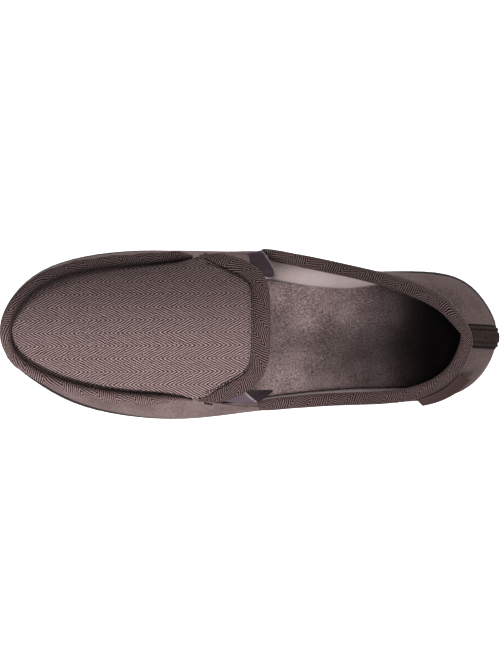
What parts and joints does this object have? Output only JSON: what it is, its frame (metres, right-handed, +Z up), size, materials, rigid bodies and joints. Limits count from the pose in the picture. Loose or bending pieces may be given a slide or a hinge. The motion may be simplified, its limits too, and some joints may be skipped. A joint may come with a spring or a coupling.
{
  "type": "moccasin slipper",
  "caption": "Soft slip-on moccasin slipper for the left foot with a plug and toe roll, bound throat and collar, elastic side gores and a low rubber sole.",
  "frame": {"origin": "middle of the bounding box on the floor under the sole", "axes": "+X towards the heel, +Y towards the medial side, +Z up"},
  "size_m": [0.29, 0.0986, 0.0782],
  "materials": {
    "sole_rubber": "matte",
    "insole_velour": "soft pile",
    "upper_cloth": "woven herringbone and plain suede cloth",
    "binding_cloth": "woven herringbone cut on the bias",
    "gore_elastic": "ribbed elastic",
    "strip_cloth": "gathered strip",
    "tab_weave": "woven, blank"
  },
  "bodies": {
    "root": {"outsole": "sole_rubber", "insole": "insole_velour", "upper": "upper_cloth", "collar_binding": "binding_cloth", "throat_binding": "binding_cloth", "gore_medial": "gore_elastic", "gore_lateral": "gore_elastic", "back_strip": "strip_cloth", "side_tab": "tab_weave"}
  },
  "joints": []
}
